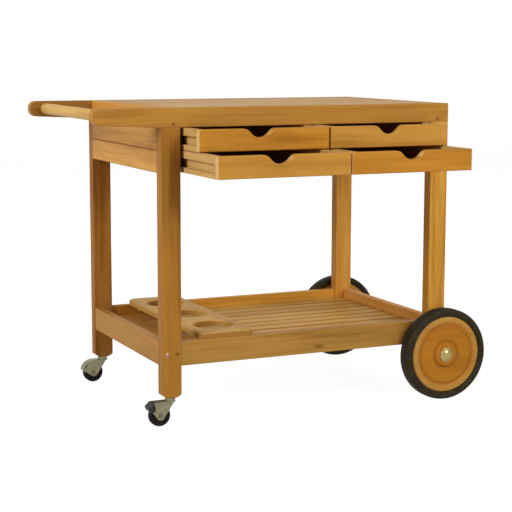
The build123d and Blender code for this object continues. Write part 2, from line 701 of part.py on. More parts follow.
def brake_lever():
    """Lever of the wheel brake: two cheeks on stub pins outside the fork, joined by the pedal."""
    boss = Circle(LEVER_BOSS_R)
    crest = Pos(LEVER_CREST_X, LEVER_CREST_Z) * Circle(LEVER_END_R)
    toe = Rot(0, 0, -LEVER_RISE) * Pos(-LEVER_LEN, 0) * Circle(LEVER_END_R)
    outline = Pos(LEVER_X, LEVER_Z) * make_hull((boss + crest + toe).edges())
    cheek = Pos(0, CHEEK_Y, 0) * extrude(Plane.XZ * outline, -CHEEK_T)
    head = rod(LEVER_HEAD_R, (LEVER_X, CHEEK_Y - LEVER_HEAD_T, LEVER_Z), (LEVER_X, CHEEK_Y, LEVER_Z))
    near = cheek + head + lever_stub()
    half = CASTER_Y - CHEEK_Y
    bar = board((-LEVER_LEN - LEVER_END_R / 2, PEDAL_W - LEVER_LEN - LEVER_END_R / 2), (-half, half),
                (-PEDAL_T / 2, PEDAL_T / 2))
    pedal = Pos(LEVER_X, CASTER_Y, LEVER_Z) * Rot(0, LEVER_RISE, 0) * bar
    return near + across_fork(near) + pedal


def caster_wheel():
    """Black wheel of the front caster, with a wider hub."""
    half = CASTER_W / 2
    hub = CASTER_HUB_W / 2
    bore = CASTER_PIN_R + RUNNING_FIT
    points = [(bore, -hub), (CASTER_HUB_R, -hub), (CASTER_HUB_R, -half), (CASTER_R, -half),
              (CASTER_R, half), (CASTER_HUB_R, half), (CASTER_HUB_R, hub), (bore, hub)]
    wheel = turned(points, WHEEL_X, CASTER_Y, CASTER_R)
    rims = wheel.edges().filter_by(GeomType.CIRCLE).group_by(SortBy.RADIUS)[-1]
    return fillet(rims, CASTER_SHOULDER)


def caster_pin():
    """Riveted pin of the caster wheel."""
    low = CASTER_Y - FORK_HALF
    high = CASTER_Y + FORK_HALF
    pin = rod(CASTER_PIN_R, (WHEEL_X, low, CASTER_R), (WHEEL_X, high, CASTER_R))
    near = rod(PIN_HEAD_R, (WHEEL_X, low - PIN_HEAD_T, CASTER_R), (WHEEL_X, low, CASTER_R))
    far = rod(PIN_HEAD_R, (WHEEL_X, high, CASTER_R), (WHEEL_X, high + PIN_HEAD_T, CASTER_R))
    return pin + near + far


def four_corners(piece):
    """The same piece at all four legs."""
    pair = [piece, to_right(piece)]
    return pair + [to_back(one) for one in pair]


def all_pieces():
    """Every node of the trolley with its solid, or its list of solids."""
    rail = top_rail()
    shelf_front = shelf_rail_front()
    shelf_left = shelf_rail_left()
    end_boards = end_aprons()
    pieces = legs()
    pieces["top_rail_front"] = rail
    pieces["top_rail_back"] = to_back(rail)
    pieces["top_end_rail_left"] = top_end_rail()
    pieces["top_end_rail_right"] = to_right(top_end_rail())
    pieces["top_planks"] = top_planks()
    pieces["top_battens"] = top_battens()
    pieces["handle_bar"] = handle_bar()
    pieces["apron_left"] = end_boards
    pieces["apron_right"] = [to_right(one) for one in end_boards]
    pieces["apron_back"] = back_aprons()
    pieces["centre_divider"] = centre_divider()
    pieces["drawer_runners"] = drawer_runners()
    pieces["shelf_rail_front"] = shelf_front
    pieces["shelf_rail_back"] = to_back(shelf_front)
    pieces["shelf_rail_left"] = shelf_left
    pieces["shelf_rail_right"] = to_right(shelf_left)
    pieces["shelf_slats"] = shelf_slats()
    pieces["shelf_bearers"] = shelf_bearers()
    pieces["bottle_rack_board"] = bottle_rack_board()
    pieces["bottle_rack_cleats"] = bottle_rack_cleats()
    pieces["wood_plugs"] = four_corners(top_plug()) + four_corners(shelf_plug())
    pieces["frame_bolts"] = four_corners(frame_bolt())
    left_notch = LEG_X + LEG_GAP + NOTCH_LEFT
    right_notch = SPLIT_X + FRONT_GAP / 2 + NOTCH_RIGHT
    for level, floor, pull in (("upper", UPPER_Z, PULL_UPPER), ("lower", LOWER_Z, PULL_LOWER)):
        for name, solid in drawer(floor, pull, SPLIT_X, left_notch).items():
            pieces[f"drawer_{level}_left_{name}"] = solid
        for name, solid in drawer(floor, pull, FRAME_LEN - SPLIT_X, FRAME_LEN - right_notch).items():
            twins = solid if isinstance(solid, list) else [solid]
            pieces[f"drawer_{level}_right_{name}"] = [to_right(one) for one in twins]
    pieces["axle"] = axle()
    pieces["axle_washers"] = axle_washers()
    pieces["hub_caps"] = hub_caps()
    for name, solid in (("wheel_disc", wheel_disc()), ("tyre", tyre()), ("wheel_bush", wheel_bush())):
        pieces[f"{name}_front"] = solid
        pieces[f"{name}_back"] = to_back(solid)
    for name, solid in (("stem", caster_stem()), ("wheel", caster_wheel()), ("pin", caster_pin())):
        pieces[f"caster_{name}_front"] = solid
        pieces[f"caster_{name}_back"] = to_back(solid)
    pieces["caster_fork_front"] = caster_fork(fork_top(WHEEL_X - FORK_BACK), eared_outline())
    pieces["caster_fork_back"] = to_back(caster_fork(fork_top(HOOD_X) + fork_hood(), hooded_outline()))
    pieces["brake_lever"] = brake_lever()
    return pieces


def write(name, solids):
    """Moves a node's solids to the trolley's own origin and writes them."""
    group = solids if isinstance(solids, list) else [solids]
    placed = [Pos(-CENTRE_X, -CENTRE_Y, 0) * one for one in group]
    node = placed[0] if len(placed) == 1 else Compound(children=placed)
    export_step(node, os.path.join("parts", name + ".step"))


os.makedirs("parts", exist_ok=True)
for node_name, node_solids in all_pieces().items():
    write(node_name, node_solids)
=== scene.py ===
import math

import bmesh
import bpy
import numpy as np
from mathutils import Matrix, Vector


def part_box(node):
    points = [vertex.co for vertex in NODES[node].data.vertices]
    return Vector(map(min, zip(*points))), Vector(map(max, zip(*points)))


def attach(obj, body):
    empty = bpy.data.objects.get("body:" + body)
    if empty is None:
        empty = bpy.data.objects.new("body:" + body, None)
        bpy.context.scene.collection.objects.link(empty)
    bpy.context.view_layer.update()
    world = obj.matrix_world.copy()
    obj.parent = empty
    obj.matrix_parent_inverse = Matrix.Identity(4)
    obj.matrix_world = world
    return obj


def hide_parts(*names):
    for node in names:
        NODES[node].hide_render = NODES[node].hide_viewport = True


# A teak serving trolley with drawers. Lengths are in metres. X runs from the push bar to the big wheels,
# Y from the drawer fronts to the back, Z up from the floor.

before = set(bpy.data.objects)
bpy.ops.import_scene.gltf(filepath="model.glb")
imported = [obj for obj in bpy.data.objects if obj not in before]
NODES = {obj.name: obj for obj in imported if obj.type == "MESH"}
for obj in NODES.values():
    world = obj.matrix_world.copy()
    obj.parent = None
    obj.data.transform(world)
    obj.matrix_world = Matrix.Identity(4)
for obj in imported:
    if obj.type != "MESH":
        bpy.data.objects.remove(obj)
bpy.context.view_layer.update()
MM = 0.001
# The two long sides of the trolley, with the way along Y that faces out of each.
SIDES = {"front": -1, "back": 1}


# Shapes

MERGED = 0.001 * MM
CREASE = math.radians(50)
# How far the wooden rim reaches past the solid's, into the tyre's seat.
RIM_LIP = 1.8 * MM
# Brake lever circles about its pivot: X, Z and radius of the boss, the crest over the fork and the toe.
LEVER_CIRCLES = np.array([(0, 0, 9.6), (4, 14, 3), (-6.5, 2.5, 4.6)]) * MM


def rounded(corners, steps=6):
    """A profile with its corners turned into arcs.

    Each corner is (across, along, radius). An arc of that radius touches both neighbouring straight runs:
    it starts radius * tan(turn / 2) before the corner and sweeps through the turn about its centre.
    """
    flat = np.array([corner[:2] for corner in corners], float)
    parts = [flat[:1]]
    for n in range(1, len(flat) - 1):
        radius = corners[n][2]
        if radius == 0:
            parts.append(flat[n:n + 1])
            continue
        come = (flat[n] - flat[n - 1]) / np.linalg.norm(flat[n] - flat[n - 1])
        go = (flat[n + 1] - flat[n]) / np.linalg.norm(flat[n + 1] - flat[n])
        hand = np.sign(come[0] * go[1] - come[1] * go[0])
        turn = math.acos(np.clip(come @ go, -1, 1))
        start = flat[n] - come * radius * math.tan(turn / 2)
        inwards = hand * np.array([-come[1], come[0]])
        sweep = np.linspace(0, turn, steps + 1)[:, None]
        parts.append(start + radius * (np.sin(sweep) * come + (1 - np.cos(sweep)) * inwards))
    parts.append(flat[-1:])
    return np.concatenate(parts)


def mirrored(corners, width):
    """The far half of a profile that is the same on both sides of the middle of its width."""
    return [(across, width - along, radius) for across, along, radius in reversed(corners)]


def piece_from_grid(name, grids, closed=False):
    """One mesh over grids of points (rows, columns, 3) whose columns go all the way round.

    Each quad joins four neighbours. Rows are joined end to end where the profile is closed, points that
    fall together at a pole are merged, and the faces are turned outwards.
    """
    shape = bmesh.new()
    for grid in grids:
        rows, columns = grid.shape[:2]
        index = np.arange(rows * columns).reshape(rows, columns)
        index = np.concatenate([index, index[:, :1]], axis=1)
        if closed:
            index = np.concatenate([index, index[:1]], axis=0)
        quads = np.stack([index[:-1, :-1], index[:-1, 1:], index[1:, 1:], index[1:, :-1]], axis=-1)
        part = bpy.data.meshes.new(name)
        part.from_pydata(grid.reshape(-1, 3).tolist(), [], quads.reshape(-1, 4).tolist())
        shape.from_mesh(part)
        bpy.data.meshes.remove(part)
    bmesh.ops.remove_doubles(shape, verts=shape.verts, dist=MERGED)
    bmesh.ops.recalc_face_normals(shape, faces=shape.faces)
    mesh = bpy.data.meshes.new(name)
    shape.to_mesh(mesh)
    shape.free()
    mesh.shade_smooth()
    mesh.set_sharp_from_angle(angle=CREASE)
    piece = bpy.data.objects.new(name, mesh)
    bpy.context.scene.collection.objects.link(piece)
    return piece


def turned(profile, centre, outward, segments=128):
    """A turned surface: (radius, distance) goes round a line along Y through the centre.

    At the angle t it lies at centre + (radius * cos t, outward * distance, radius * sin t).
    """
    angle = np.linspace(0, 2 * np.pi, segments, endpoint=False)
    radius = profile[:, :1]
    along = np.broadcast_to(outward * profile[:, 1:], (len(profile), segments))
    return np.stack([radius * np.cos(angle), along, radius * np.sin(angle)], axis=-1) + np.array(centre)


def round_place(name, outward=1):
    """Where a round node starts on its line along Y, seen from the inside, with its radius and its width."""
    low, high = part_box(name)
    start = high.y if outward < 0 else low.y
    return ((low.x + high.x) / 2, start, (low.z + high.z) / 2), (high.z - low.z) / 2, high.y - low.y


def wheel_disc(side, outward):
    """Turned wooden disc: a closed profile with a rolled rim, two coves, a raised hub and a scratched line.

    Its corners go from the bore over the back, round the rim and back over the face to the bore.
    """
    centre, radius, width = round_place(f"wheel_disc_{side}", outward)
    radius += RIM_LIP
    bore, boss, boss_foot = 9 * MM, 38 * MM, 42 * MM
    back, floor, field, face = 3 * MM, width - 5.2 * MM, width - 3 * MM, width - 2 * MM
    rim_in, rim_foot, field_foot, field_out = (radius - depth * MM for depth in (17, 22, 25, 30))
    field_in, ring_foot, hub_foot, hub = 44 * MM, 39.5 * MM, 37 * MM, 32.5 * MM
    line_out, line_middle, line_in, scratch = 27.4 * MM, 25.8 * MM, 24.2 * MM, width - 1.2 * MM
    crisp, tight, hollow, shoulder, lip, roll = (bend * MM for bend in (1, 2, 3, 4, 5, 7))
    line_edge, line_floor = 0.8 * MM, 0.6 * MM
    corners = [(bore, 0, 0), (boss, 0, crisp), (boss_foot, back, crisp), (radius, back, crisp),
               (radius, face, roll), (rim_in, face, lip), (rim_foot, floor, hollow),
               (field_foot, floor, hollow), (field_out, field, shoulder), (field_in, field, hollow),
               (ring_foot, floor, tight), (hub_foot, floor, tight), (hub, width, hollow),
               (line_out, width, line_edge), (line_middle, scratch, line_floor), (line_in, width, line_edge),
               (bore, width, 0)]
    return piece_from_grid(f"turned_disc_{side}", [turned(rounded(corners), centre, outward)], closed=True)


def tyre(side, outward):
    """Solid tyre: a closed profile with round shoulders, a stepped sidewall and two shallow tread lines."""
    centre, radius, width = round_place(f"tyre_{side}", outward)
    rubber_depth, bead, slope, recess, crown = 23 * MM, 4 * MM, 1.5 * MM, 2 * MM, 1.5 * MM
    seat = radius - rubber_depth + RIM_LIP
    step = seat + bead
    tread_start = 12 * MM
    line_start, line_slope, line_floor, line_depth = 12.6 * MM, 0.6 * MM, 1 * MM, 1.2 * MM
    floor_start = line_start + line_slope
    floor_end = floor_start + line_floor
    fine, eased, crisp, flat, broad = 0.3 * MM, 0.8 * MM, 1 * MM, 4 * MM, 9 * MM
    wall = [(seat, recess, eased), (step, recess, eased), (step + slope, 0, crisp)]
    shoulder = [(radius - crown, 0, broad), (radius, tread_start, flat)]
    tread_line = [(radius, line_start, fine), (radius - line_depth, floor_start, fine),
                  (radius - line_depth, floor_end, fine), (radius, floor_end + line_slope, fine)]
    near = wall + shoulder + tread_line
    middle, seam = width / 2, 0.1 * MM
    profile = rounded([(seat, middle, 0), *near, *mirrored(near, width), (seat, middle + seam, 0)], steps=5)
    surface = turned(profile, centre, outward, segments=160)
    return piece_from_grid(f"rubber_tyre_{side}", [surface], closed=True)


def hub_cap_pair():
    """Two brass caps: a flange and a crown that is part of a ball, hollow for the end of the axle.

    The ball goes through the crown's foot and its top, so its radius is (foot ** 2 + rise ** 2) / (2 * rise).
    """
    low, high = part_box("hub_caps")
    wider, flange_width, seat, height, rim = 3 * MM, 3.2 * MM, 13 * MM, 11 * MM, 2.4 * MM
    bore, depth, lip, base = 6.02 * MM, 8 * MM, 1.1 * MM, 0.5 * MM
    radius = (high.z - low.z) / 2 + wider
    foot = radius - flange_width
    rise = height - rim
    ball = (foot ** 2 + rise ** 2) / (2 * rise)
    lean = np.linspace(0, math.asin(foot / ball), 18)
    crown = np.stack([ball * np.sin(lean), height - ball + ball * np.cos(lean)], axis=1)
    flange = rounded([(foot, rim, 0), (radius, rim, lip), (radius, 0, base), (bore, 0, 0),
                      (bore, depth, 0), (0, depth, 0)])
    profile = np.concatenate([crown, flange[1:]])
    x, z = (low.x + high.x) / 2, (low.z + high.z) / 2
    seats = {"front": low.y + seat, "back": high.y - seat}
    caps = [turned(profile, (x, seats[side], z), outward, segments=72) for side, outward in SIDES.items()]
    return piece_from_grid("brass_caps", caps)


def push_bar():
    """Round bar with shouldered tenons: its profile is the radius against the distance along Y."""
    centre, radius, length = round_place("handle_bar")
    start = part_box("top_rail_front")[1].y - centre[1]
    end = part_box("top_rail_back")[0].y - centre[1]
    tenon, tip, shoulder = 11 * MM, 1 * MM, 0.8 * MM
    corners = [(0, 0, 0), (tenon, 0, tip), (tenon, start, 0), (radius, start, shoulder),
               (radius, end, shoulder), (tenon, end, 0), (tenon, length, tip), (0, length, 0)]
    return piece_from_grid("round_push_bar", [turned(rounded(corners), centre, 1, segments=72)])


def caster_wheel(side):
    """Small black wheel: a closed profile with a crowned tread, dished sides and a wider hub."""
    centre, radius, width = round_place(f"caster_wheel_{side}")
    bore, hub, hub_foot, dish, wall = 4.05 * MM, 11 * MM, 11.6 * MM, 21 * MM, 22 * MM
    flank, floor = 1.3 * MM, 2.9 * MM
    fine, eased, crown = 0.6 * MM, 1 * MM, 4.2 * MM
    near = [(bore, 0, 0), (hub, 0, eased), (hub_foot, floor, eased), (dish, floor, eased),
            (wall, flank, fine), (radius, flank, crown)]
    profile = rounded(near + mirrored(near, width))
    return piece_from_grid(f"rolling_caster_{side}", [turned(profile, centre, 1, segments=96)], closed=True)


def lever_outline(angles, inset):
    """Side of the brake lever: in each direction, the outermost point of its three circles less an inset."""
    ways = np.stack([np.cos(angles), np.sin(angles)], axis=1)
    reach = LEVER_CIRCLES[:, :2] @ ways.T + LEVER_CIRCLES[:, 2:]
    chosen = LEVER_CIRCLES[reach.argmax(axis=0)]
    return chosen[:, :2] + (chosen[:, 2:] - inset) * ways


def foot_brake():
    """Moulded brake lever: two round-edged cheeks, a bowed plate across them and two riveted stub pins.

    Each cheek is the outline stretched along Y with its edge drawn in at both faces. The plate follows the
    outline from crest to boss with a thickness of its own. The pins are turned about the pivot.
    """
    low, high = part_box("brake_lever")
    eye = 7.5 * MM
    pivot = np.array([high.x - eye, (low.y + high.y) / 2, low.z + eye])
    cheek, edge, plate_top, plate_under = 2 * MM, 0.5 * MM, 0.2 * MM, 2.6 * MM
    head, head_radius, head_bend, pin, pin_length = 1.2 * MM, 4 * MM, 0.9 * MM, 2.5 * MM, 1.8 * MM
    crest_way, boss_way = math.radians(131), math.radians(228)
    outer = (high.y - low.y) / 2 - head
    inner = outer - cheek

    def layer(flat, y):
        """Points (X, Z) from the pivot, laid in the plane at one distance along Y."""
        return pivot + np.stack([flat[:, 0], np.full(len(flat), y), flat[:, 1]], axis=1)

    ring = np.linspace(0, 2 * np.pi, 96, endpoint=False)
    full, drawn_in, middle = lever_outline(ring, 0), lever_outline(ring, edge), np.zeros((len(ring), 2))
    layers = [(inner, middle), (inner, drawn_in), (inner + edge, full), (outer - edge, full),
              (outer, drawn_in), (outer, middle)]
    dome = rounded([(0, head, 0), (head_radius, head, head_bend), (head_radius, 0, 0), (0, 0, 0)])
    stub = np.array([(0, 0), (pin, 0), (pin, -pin_length), (0, -pin_length)])
    grids = []
    for outward in SIDES.values():
        grids.append(np.stack([layer(flat, outward * y) for y, flat in layers]))
        grids.append(turned(dome, pivot + (0, outward * outer, 0), outward, segments=48))
        grids.append(turned(stub, pivot + (0, outward * inner, 0), outward, segments=48))
    bow = np.linspace(crest_way, boss_way, 60)
    skin, lining = lever_outline(bow, plate_top), lever_outline(bow, plate_under)
    section = [(skin, -inner), (skin, inner), (lining, inner), (lining, -inner)]
    plate = np.stack([layer(flat, y) for flat, y in section], axis=1)
    ends = plate.mean(axis=1, keepdims=True).repeat(4, axis=1)
    grids.append(np.concatenate([ends[:1], plate, ends[-1:]]))
    return piece_from_grid("foot_brake", grids)


# Shader steps

def tint(red, green, blue):
    """A colour given as it looks on a screen, 0 to 255, in the linear values that a shader takes."""
    share = np.array([red, green, blue]) / 255
    linear = np.where(share <= 0.04045, share / 12.92, ((share + 0.055) / 1.055) ** 2.4)
    return (*linear.tolist(), 1.0)


def blank(name):
    """A new material, its node tree, and its main shader."""
    material = bpy.data.materials.new(name)
    material.use_nodes = True
    return material, material.node_tree, material.node_tree.nodes["Principled BSDF"]


def node(tree, kind, inputs=None, **settings):
    """Adds a node, sets its options and fills its inputs with values or with other nodes' outputs."""
    made = tree.nodes.new(kind)
    for key, value in settings.items():
        setattr(made, key, value)
    for key, value in (inputs or {}).items():
        if isinstance(value, bpy.types.NodeSocket):
            tree.links.new(value, made.inputs[key])
        else:
            made.inputs[key].default_value = value
    return made


def sums(tree, kind, *values):
    """One step of arithmetic on numbers."""
    return node(tree, "ShaderNodeMath", dict(enumerate(values)), operation=kind).outputs[0]


def moves(tree, kind, *values):
    """One step of arithmetic on places."""
    made = node(tree, "ShaderNodeVectorMath", dict(enumerate(values)), operation=kind)
    return made.outputs["Value" if kind == "DISTANCE" else "Vector"]


def remap(tree, value, start, end, low=0.0, high=1.0):
    """A number that goes from low to high while the value goes from start to end."""
    return node(tree, "ShaderNodeMapRange", {"Value": value, "From Min": start, "From Max": end,
                                             "To Min": low, "To Max": high}).outputs[0]


def blend(tree, share, first, second, kind="MIX"):
    """Two colours mixed by a share."""
    return node(tree, "ShaderNodeMix", {0: share, 6: first, 7: second}, data_type="RGBA",
                blend_type=kind).outputs[2]


def ramp(tree, value, stops):
    """A colour ramp through (place, colour) stops."""
    made = node(tree, "ShaderNodeValToRGB", {"Fac": value})
    scale = made.color_ramp
    while len(scale.elements) < len(stops):
        scale.elements.new(0.5)
    for element, (place, colour) in zip(scale.elements, stops):
        element.position = place
        element.color = colour
    return made.outputs["Color"]


def stretched_noise(tree, point, stretch, detail, output="Fac"):
    """Noise on coordinates that are stretched by three factors."""
    return node(tree, "ShaderNodeTexNoise", {"Vector": moves(tree, "MULTIPLY", point, stretch), "Scale": 1.0,
                                             "Detail": detail, "Roughness": 0.6}).outputs[output]


def wire(tree, shader, colour, roughness, height=None, strength=0.0):
    """Links a colour, a roughness and, where there is a height, a bump to the main shader."""
    tree.links.new(colour, shader.inputs["Base Color"])
    tree.links.new(roughness, shader.inputs["Roughness"])
    if height is not None:
        bump = node(tree, "ShaderNodeBump", {"Height": height, "Strength": strength, "Distance": 0.4 * MM})
        tree.links.new(bump.outputs[0], shader.inputs["Normal"])


# Finishes

GRAIN_TURN = {"X": (0, 0, 0), "Y": (0, 0, -math.pi / 2), "Z": (0, math.pi / 2, 0)}
# How far apart two boards are cut from the tree, for each step of the seed and at most within a row, the
# number that the count of a row's boards starts from, and the seed's own step from one node to the next.
SEED_STEP = (1.7, 0.31, 0.23)
ROW_STEP = (3.0, 0.4, 0.4)
FIRST_BOARD = 3.5
BOARD_SEED = 1.37
# In a row: how much the boards differ, and how dark a joint is, up to which share of its distance.
OWN_SHADE, JOINT_DEPTH, JOINT_CORE = 0.2, 0.5, 0.3
# How often each kind of noise changes in a metre along the grain and across it.
SHADES = (1.8, 11.0, 11.0)
WAVES = (1.6, 7.0, 7.0)
STREAKS = (2.6, 75.0, 75.0)
FIBRES = (9.0, 420.0, 420.0)
PORES = (60.0, 1500.0, 1500.0)
# How far the waves push the streaks aside, and what each noise has to say in a board's shade.
WAVE_REACH = (0, 0.03, 0.03)
SHADE_SHARE, STREAK_SHARE, FIBRE_SHARE, PORE_SHARE = 0.95, 0.75, 0.4, 0.07
# The tops of the finest noise that are pores, and the middle part of a noise, where most of it lies.
PORE_TOPS = (0.62, 0.76)
MOST = (0.3, 0.7)
# A board's deep and pale places against its own colour, and its oiled surface.
DEEP = (0.62, 0.50, 0.36)
PALE = (1.2, 1.28, 1.42)
OILED_ROUGHNESS, OILED_GLOSS, OILED_BUMP = (0.44, 0.6), 0.12, 0.12
# Rubber and moulded plastic: how often dust changes in a metre, where it starts and is full, and the surface.
DUST_PATCHES = (28.0, 60.0, 28.0)
DUST_START, DUST_FULL = 0.40, 0.75
RUBBER_ROUGHNESS, RUBBER_BUMP = (0.5, 0.72), 0.25
# A tint on a turned disc, by the share of the way from the axle to the rim: painted shade in the coves and a
# painted highlight on the rolled rim.
RIM_REACH = 110 * MM
CLEAR, COVE_SHADE, RIM_COVE_SHADE = (0.92, 0.72, 0.25, 1), (0.72, 0.52, 0.16, 1), (0.75, 0.55, 0.18, 1)
RIM_SOFT_HIGHLIGHT, RIM_HIGHLIGHT = (0.97, 0.9, 0.7, 1), (1, 1, 1, 1)
DISC_TINT_AND_PAINTED_LIGHT = [(0.27, CLEAR), (0.345, COVE_SHADE), (0.42, CLEAR), (0.70, CLEAR), (0.78, RIM_COVE_SHADE), (0.85, RIM_SOFT_HIGHLIGHT),
           (0.93, RIM_HIGHLIGHT)]


def row_of_boards(tree, place, seed, axis, start, pitch, dark, lift):
    """Boards that share a node: a colour picked for each board, and what its shade gains by its place.

    The whole number of (place - start) / pitch counts the boards. Each gains a shade of its own and its count
    times the lift, and loses some within the dark distance from a joint.
    """
    parts = node(tree, "ShaderNodeSeparateXYZ", {0: place})
    along = sums(tree, "DIVIDE", sums(tree, "SUBTRACT", parts.outputs[axis], start), pitch)
    count = sums(tree, "FLOOR", along)
    pick = node(tree, "ShaderNodeTexWhiteNoise", {"W": sums(tree, "ADD", count, seed + FIRST_BOARD)},
                noise_dimensions="1D")
    away = sums(tree, "PINGPONG", along, 0.5)
    joint = remap(tree, away, JOINT_CORE * dark / pitch, dark / pitch, JOINT_DEPTH, 0.0)
    own = sums(tree, "MULTIPLY_ADD", pick.outputs["Value"], OWN_SHADE, -OWN_SHADE / 2)
    gain = sums(tree, "SUBTRACT", sums(tree, "MULTIPLY_ADD", count, lift, own), joint)
    return pick.outputs["Color"], gain


def dark_spot(tree, place, centre, stretch, reach, depth):
    """A dark spot, used for a real knot and for painted shadows: its depth fades to nothing with the
    stretched distance from its middle.
    """
    middle = tuple(part * factor for part, factor in zip(centre, stretch))
    away = moves(tree, "DISTANCE", moves(tree, "MULTIPLY", place, stretch), middle)
    return remap(tree, away, reach / 4, reach, depth, 0.0)


def tinted_with_painted_light(tree, place, colour, axle):
    """A colour tinted by its distance from the axle: darker in the coves as painted shade, and paler on the
    rim as a painted highlight.
    """
    away = moves(tree, "DISTANCE", moves(tree, "MULTIPLY", place, (1, 0, 1)), (axle[0], 0, axle[2]))
    return blend(tree, 1.0, colour, ramp(tree, sums(tree, "DIVIDE", away, RIM_REACH), DISC_TINT_AND_PAINTED_LIGHT), "MULTIPLY")


def sawn_end(tree, colour, axis, way, end_tone):
    """A colour that gives way to another where the surface faces one way along an axis, such as the painted
    highlight on the drawer fronts' ends.
    """
    facing = node(tree, "ShaderNodeSeparateXYZ", {0: node(tree, "ShaderNodeTexCoord").outputs["Normal"]})
    share = remap(tree, sums(tree, "MULTIPLY", facing.outputs[axis], way), 0.5, 0.9)
    return blend(tree, share, colour, tint(*end_tone))


def teak(name, grain, tone, seed, row=None, spots=(), streaky=1.0, axle=None, sawn=None):
    """Oiled teak as a solid pattern about one middle colour, so its ends show end grain.

    Slow noise drawn out along the grain shades the board between a deep and a pale mix of its colour. Finer
    noise, pushed aside in waves, adds streaks and fibres, and the tops of the finest noise are dark pores.
    """
    material, tree, shader = blank(name)
    place = node(tree, "ShaderNodeTexCoord").outputs["Object"]
    cut = tuple(seed * step for step in SEED_STEP)
    point = node(tree, "ShaderNodeMapping", {"Vector": place, "Rotation": GRAIN_TURN[grain],
                                             "Location": cut}).outputs[0]
    if row:
        picked, gain = row_of_boards(tree, place, seed, *row)
        point = moves(tree, "MULTIPLY_ADD", picked, ROW_STEP, point)
    waves = stretched_noise(tree, point, WAVES, detail=2.0, output="Color")
    waved = moves(tree, "MULTIPLY_ADD", waves, WAVE_REACH, point)
    shades = stretched_noise(tree, point, SHADES, detail=2.0)
    streaks = stretched_noise(tree, waved, STREAKS, detail=3.0)
    fibres = stretched_noise(tree, waved, FIBRES, detail=3.0)
    pores = remap(tree, stretched_noise(tree, waved, PORES, detail=1.0), *PORE_TOPS)

    streak_share = STREAK_SHARE * streaky
    level = 0.5 - (SHADE_SHARE + streak_share + FIBRE_SHARE) / 2
    mixed = sums(tree, "MULTIPLY_ADD", shades, SHADE_SHARE, level)
    mixed = sums(tree, "MULTIPLY_ADD", streaks, streak_share, mixed)
    mixed = sums(tree, "MULTIPLY_ADD", fibres, FIBRE_SHARE, mixed)
    mixed = sums(tree, "MULTIPLY_ADD", pores, -PORE_SHARE, mixed)
    if row:
        mixed = sums(tree, "ADD", mixed, gain)
    # Dark spots: a real knot, and painted shadows and shade.
    for spot in spots:
        mixed = sums(tree, "SUBTRACT", mixed, dark_spot(tree, place, *spot))

    own = np.array(tint(*tone))
    deep, pale = (tuple(own * (*share, 1.0)) for share in (DEEP, PALE))
    colour = ramp(tree, mixed, [(0.1, deep), (0.5, tuple(own)), (0.9, pale)])
    if axle:
        colour = tinted_with_painted_light(tree, place, colour, axle)
    if sawn:
        colour = sawn_end(tree, colour, *sawn)
    roughness = remap(tree, fibres, *MOST, *OILED_ROUGHNESS)
    wire(tree, shader, colour, roughness, sums(tree, "SUBTRACT", fibres, pores), OILED_BUMP)
    shader.inputs["Specular IOR Level"].default_value = OILED_GLOSS
    return material


def rubber(name, tone, dust, grain, gloss):
    """Rubber or moulded plastic: fine pitted noise, and slow noise that leaves a little pale dust."""
    material, tree, shader = blank(name)
    place = node(tree, "ShaderNodeTexCoord").outputs["Object"]
    pits = stretched_noise(tree, place, (grain, grain, grain), detail=3.0)
    dusty = stretched_noise(tree, place, DUST_PATCHES, detail=4.0)
    colour = ramp(tree, dusty, [(DUST_START, tint(*tone)), (DUST_FULL, tint(*dust))])
    wire(tree, shader, colour, remap(tree, dusty, *MOST, *RUBBER_ROUGHNESS), pits, RUBBER_BUMP)
    shader.inputs["Specular IOR Level"].default_value = gloss
    return material


def metal(name, dull, bright, roughness, grain):
    """Plated metal: slow noise moves the colour between two shades and the roughness between two values."""
    material, tree, shader = blank(name)
    place = node(tree, "ShaderNodeTexCoord").outputs["Object"]
    cloud = stretched_noise(tree, place, (grain, grain, grain), detail=3.0)
    colour = ramp(tree, cloud, list(zip(MOST, (tint(*dull), tint(*bright)))))
    wire(tree, shader, colour, remap(tree, cloud, *MOST, *roughness))
    shader.inputs["Metallic"].default_value = 1.0
    return material


# Dressing

HONEY = (190, 132, 56)
AMBER = (174, 126, 58)
STRAW = (210, 167, 94)
# Pale ends of the drawer fronts, a painted highlight.
PAINTED_END_HIGHLIGHT = (206, 170, 114)
# The first of these words that a node's name holds gives its tone. The others are honey.
# Some tones hold painted light and shade besides the wood's own tone: the back left leg and the front shelf
# rail are set darker, and the back shelf rail lighter, for the light that falls on them.
TONES = {
    "leg_front_left": (159, 108, 38), "leg_front_right": (197, 141, 54),
    "leg_back_left": (156, 102, 38), "leg_back_right": (205, 146, 60),
    "top_rail_back": (162, 114, 46), "top_rail": (171, 121, 48),
    "shelf_rail_front": (165, 121, 55), "shelf_rail_back": (221, 160, 64),
    "shelf_rail_left": (169, 118, 48), "shelf_rail_right": (217, 155, 76),
    "upper_left_front": (188, 130, 42), "upper_right_front": (185, 134, 54),
    "lower_left_front": (180, 128, 50), "lower_right_front": (180, 121, 38),
    "apron": (207, 151, 74), "_sides": (190, 149, 89), "_back": (178, 130, 72), "_bottom": (178, 130, 70),
    # The runners' near-black tone is painted shade: it darkens the groove mouths beside the front left leg.
    "runners": (50, 26, 10), "slats": (203, 157, 79), "rack": (195, 151, 78), "planks": (196, 154, 94),
    "plugs": (128, 78, 34)}
# Boards whose grain runs along Y, besides the drawer sides.
CROSSWISE = ("top_end_rail", "top_battens", "apron_left", "apron_right", "drawer_runners", "centre_divider",
             "shelf_rail_left", "shelf_rail_right", "shelf_bearers", "bottle_rack_board")
# Nodes that a finer piece stands in for.
REPLACED = ("tyre", "wheel_", "caster_wheel", "hub_caps", "handle_bar", "brake_lever")


def coat(thing, material):
    """Puts a finish on a piece or on a carried-over node."""
    if not thing.material_slots:
        thing.data.materials.append(material)
    for place in thing.material_slots:
        place.material = material


